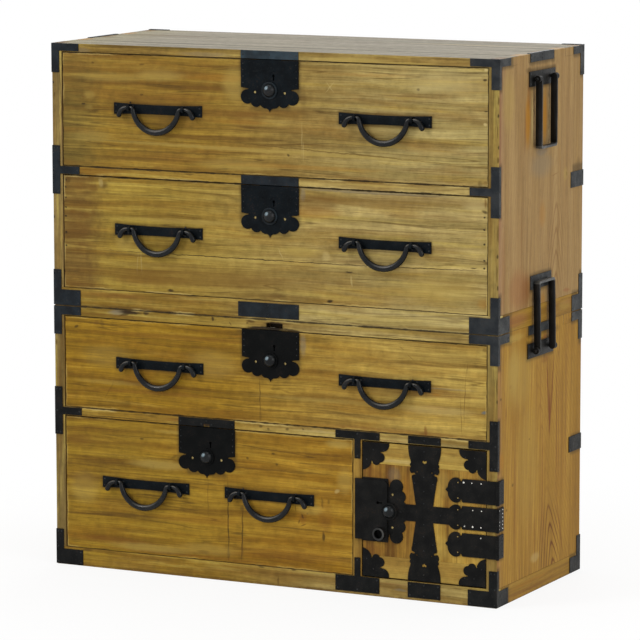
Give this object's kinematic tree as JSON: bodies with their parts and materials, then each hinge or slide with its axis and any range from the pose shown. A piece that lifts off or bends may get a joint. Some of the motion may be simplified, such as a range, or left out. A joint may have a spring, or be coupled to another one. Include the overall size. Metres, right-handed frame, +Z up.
{
  "type": "japanese clothing chest",
  "caption": "Two-section wooden clothing chest with iron fittings: wide drawers with bail handles and button locks, a hinged side door over small drawers, and side carrying handles.",
  "frame": {"origin": "middle of the footprint, on the floor under the lower case", "axes": "+Z up, the drawer fronts face -Y, +X to the right seen from the front"},
  "size_m": [0.9324, 0.3979, 0.9782],
  "materials": {
    "front_wood": "oiled, horizontal grain",
    "side_board_wood": "worn, upright grain",
    "top_board_wood": "weathered, bare",
    "inner_wood": "bare, unfinished",
    "black_iron": "blackened, hand-forged sheet"
  },
  "bodies": {
    "lower_case": {"lower_sides": "side_board_wood", "lower_top_board": "top_board_wood", "lower_base_frame": "front_wood", "lower_back_boards": "inner_wood", "lower_rail_shelf": "front_wood", "lower_irons": "black_iron", "lower_handle_plates": "black_iron", "lower_partitions": "front_wood", "door_hinge_leaves": "black_iron"},
    "upper_case": {"upper_sides": "side_board_wood", "upper_top_board": "top_board_wood", "upper_base_frame": "front_wood", "upper_back_boards": "inner_wood", "upper_rail_shelf": "front_wood", "upper_irons": "black_iron", "upper_handle_plates": "black_iron"},
    "drawer_1": {"drawer_1_front": "front_wood", "drawer_1_box": "inner_wood", "drawer_1_lock_plate": "black_iron", "drawer_1_handle_plates": "black_iron"},
    "drawer_1_left_bail": {"drawer_1_left_bail": "black_iron"},
    "drawer_1_right_bail": {"drawer_1_right_bail": "black_iron"},
    "drawer_1_lock_button": {"drawer_1_lock_button": "black_iron"},
    "drawer_1_lock_bolt": {"drawer_1_lock_bolt": "black_iron"},
    "drawer_2": {"drawer_2_front": "front_wood", "drawer_2_box": "inner_wood", "drawer_2_lock_plate": "black_iron", "drawer_2_handle_plates": "black_iron"},
    "drawer_2_left_bail": {"drawer_2_left_bail": "black_iron"},
    "drawer_2_right_bail": {"drawer_2_right_bail": "black_iron"},
    "drawer_2_lock_button": {"drawer_2_lock_button": "black_iron"},
    "drawer_2_lock_bolt": {"drawer_2_lock_bolt": "black_iron"},
    "drawer_3": {"drawer_3_front": "front_wood", "drawer_3_box": "inner_wood", "drawer_3_lock_plate": "black_iron", "drawer_3_handle_plates": "black_iron"},
    "drawer_3_left_bail": {"drawer_3_left_bail": "black_iron"},
    "drawer_3_right_bail": {"drawer_3_right_bail": "black_iron"},
    "drawer_3_lock_button": {"drawer_3_lock_button": "black_iron"},
    "drawer_3_lock_bolt": {"drawer_3_lock_bolt": "black_iron"},
    "drawer_4": {"drawer_4_front": "front_wood", "drawer_4_box": "inner_wood", "drawer_4_lock_plate": "black_iron", "drawer_4_handle_plates": "black_iron"},
    "drawer_4_left_bail": {"drawer_4_left_bail": "black_iron"},
    "drawer_4_right_bail": {"drawer_4_right_bail": "black_iron"},
    "drawer_4_lock_button": {"drawer_4_lock_button": "black_iron"},
    "drawer_4_lock_bolt": {"drawer_4_lock_bolt": "black_iron"},
    "upper_right_carry_handle": {"upper_right_carry_handle": "black_iron"},
    "upper_left_carry_handle": {"upper_left_carry_handle": "black_iron"},
    "lower_right_carry_handle": {"lower_right_carry_handle": "black_iron"},
    "lower_left_carry_handle": {"lower_left_carry_handle": "black_iron"},
    "door": {"door_boards": "front_wood", "door_bands": "black_iron", "door_straps": "black_iron", "door_lock_plate": "black_iron"},
    "door_lock_button": {"door_lock_button": "black_iron"},
    "door_lock_bolt": {"door_lock_bolt": "black_iron"},
    "inner_drawer_bottom": {"inner_drawer_bottom": "inner_wood"},
    "inner_drawer_top": {"inner_drawer_top": "inner_wood"}
  },
  "joints": [
    {"name": "upper_case_lift", "type": "slide", "parent": "lower_case", "child": "upper_case", "axis": [0, 0, 1], "range_m": [0, 0.2]},
    {"name": "drawer_1_slide", "type": "slide", "parent": "upper_case", "child": "drawer_1", "axis": [0, -1, 0], "range_m": [0, 0.3]},
    {"name": "drawer_1_left_bail_swing", "type": "hinge", "parent": "drawer_1", "child": "drawer_1_left_bail", "pos_m": [-0.229, -0.1985, 0.86455], "axis": [-1, 0, 0], "range_deg": [0, 175]},
    {"name": "drawer_1_right_bail_swing", "type": "hinge", "parent": "drawer_1", "child": "drawer_1_right_bail", "pos_m": [0.229, -0.1985, 0.86455], "axis": [-1, 0, 0], "range_deg": [0, 175]},
    {"name": "drawer_1_button_push", "type": "slide", "parent": "drawer_1", "child": "drawer_1_lock_button", "axis": [0, 1, 0], "range_m": [0, 0.004]},
    {"name": "drawer_1_bolt_rise", "type": "slide", "parent": "drawer_1", "child": "drawer_1_lock_bolt", "axis": [0, 0, 1], "range_m": [0, 0.0061]},
    {"name": "drawer_2_slide", "type": "slide", "parent": "upper_case", "child": "drawer_2", "axis": [0, -1, 0], "range_m": [0, 0.3]},
    {"name": "drawer_2_left_bail_swing", "type": "hinge", "parent": "drawer_2", "child": "drawer_2_left_bail", "pos_m": [-0.229, -0.1985, 0.64155], "axis": [-1, 0, 0], "range_deg": [0, 175]},
    {"name": "drawer_2_right_bail_swing", "type": "hinge", "parent": "drawer_2", "child": "drawer_2_right_bail", "pos_m": [0.229, -0.1985, 0.64155], "axis": [-1, 0, 0], "range_deg": [0, 175]},
    {"name": "drawer_2_button_push", "type": "slide", "parent": "drawer_2", "child": "drawer_2_lock_button", "axis": [0, 1, 0], "range_m": [0, 0.004]},
    {"name": "drawer_2_bolt_rise", "type": "slide", "parent": "drawer_2", "child": "drawer_2_lock_bolt", "axis": [0, 0, 1], "range_m": [0, 0.0061]},
    {"name": "drawer_3_slide", "type": "slide", "parent": "lower_case", "child": "drawer_3", "axis": [0, -1, 0], "range_m": [0, 0.3]},
    {"name": "drawer_3_left_bail_swing", "type": "hinge", "parent": "drawer_3", "child": "drawer_3_left_bail", "pos_m": [-0.229, -0.1985, 0.39305], "axis": [-1, 0, 0], "range_deg": [0, 175]},
    {"name": "drawer_3_right_bail_swing", "type": "hinge", "parent": "drawer_3", "child": "drawer_3_right_bail", "pos_m": [0.229, -0.1985, 0.39305], "axis": [-1, 0, 0], "range_deg": [0, 175]},
    {"name": "drawer_3_button_push", "type": "slide", "parent": "drawer_3", "child": "drawer_3_lock_button", "axis": [0, 1, 0], "range_m": [0, 0.004]},
    {"name": "drawer_3_bolt_rise", "type": "slide", "parent": "drawer_3", "child": "drawer_3_lock_bolt", "axis": [0, 0, 1], "range_m": [0, 0.0061]},
    {"name": "drawer_4_slide", "type": "slide", "parent": "lower_case", "child": "drawer_4", "axis": [0, -1, 0], "range_m": [0, 0.3]},
    {"name": "drawer_4_left_bail_swing", "type": "hinge", "parent": "drawer_4", "child": "drawer_4_left_bail", "pos_m": [-0.2595, -0.1985, 0.16755], "axis": [-1, 0, 0], "range_deg": [0, 175]},
    {"name": "drawer_4_right_bail_swing", "type": "hinge", "parent": "drawer_4", "child": "drawer_4_right_bail", "pos_m": [-0.0035, -0.1985, 0.16755], "axis": [-1, 0, 0], "range_deg": [0, 175]},
    {"name": "drawer_4_button_push", "type": "slide", "parent": "drawer_4", "child": "drawer_4_lock_button", "axis": [0, 1, 0], "range_m": [0, 0.004]},
    {"name": "drawer_4_bolt_rise", "type": "slide", "parent": "drawer_4", "child": "drawer_4_lock_bolt", "axis": [0, 0, 1], "range_m": [0, 0.0061]},
    {"name": "upper_right_carry_handle_swing", "type": "hinge", "parent": "upper_case", "child": "upper_right_carry_handle", "pos_m": [0.46, -0.003, 0.932], "axis": [0, -1, 0], "range_deg": [0, 180]},
    {"name": "upper_left_carry_handle_swing", "type": "hinge", "parent": "upper_case", "child": "upper_left_carry_handle", "pos_m": [-0.46, -0.003, 0.932], "axis": [0, 1, 0], "range_deg": [0, 180]},
    {"name": "lower_right_carry_handle_swing", "type": "hinge", "parent": "lower_case", "child": "lower_right_carry_handle", "pos_m": [0.46, -0.003, 0.444], "axis": [0, 1, 0], "range_deg": [0, 180]},
    {"name": "lower_left_carry_handle_swing", "type": "hinge", "parent": "lower_case", "child": "lower_left_carry_handle", "pos_m": [-0.46, -0.003, 0.444], "axis": [0, -1, 0], "range_deg": [0, 180]},
    {"name": "door_swing", "type": "hinge", "parent": "lower_case", "child": "door", "pos_m": [0.4526, -0.193, 0.159], "axis": [0, 0, 1], "range_deg": [0, 250]},
    {"name": "door_button_push", "type": "slide", "parent": "door", "child": "door_lock_button", "axis": [0, 1, 0], "range_m": [0, 0.004]},
    {"name": "door_bolt_throw", "type": "slide", "parent": "door", "child": "door_lock_bolt", "axis": [-1, 0, 0], "range_m": [0, 0.0061]},
    {"name": "inner_drawer_bottom_slide", "type": "slide", "parent": "lower_case", "child": "inner_drawer_bottom", "axis": [0, -1, 0], "range_m": [0, 0.18]},
    {"name": "inner_drawer_top_slide", "type": "slide", "parent": "lower_case", "child": "inner_drawer_top", "axis": [0, -1, 0], "range_m": [0, 0.18]}
  ],
  "couplings": [
    {"joint": "drawer_1_bolt_rise", "follows": "drawer_1_button_push", "ratio": 1.5},
    {"joint": "drawer_2_bolt_rise", "follows": "drawer_2_button_push", "ratio": 1.5},
    {"joint": "drawer_3_bolt_rise", "follows": "drawer_3_button_push", "ratio": 1.5},
    {"joint": "drawer_4_bolt_rise", "follows": "drawer_4_button_push", "ratio": 1.5},
    {"joint": "door_bolt_throw", "follows": "door_button_push", "ratio": 1.5},
    {"joint": "inner_drawer_bottom_slide", "follows": "door_swing", "m_per_rad": 0.0412},
    {"joint": "inner_drawer_top_slide", "follows": "door_swing", "m_per_rad": 0.0412}
  ]
}
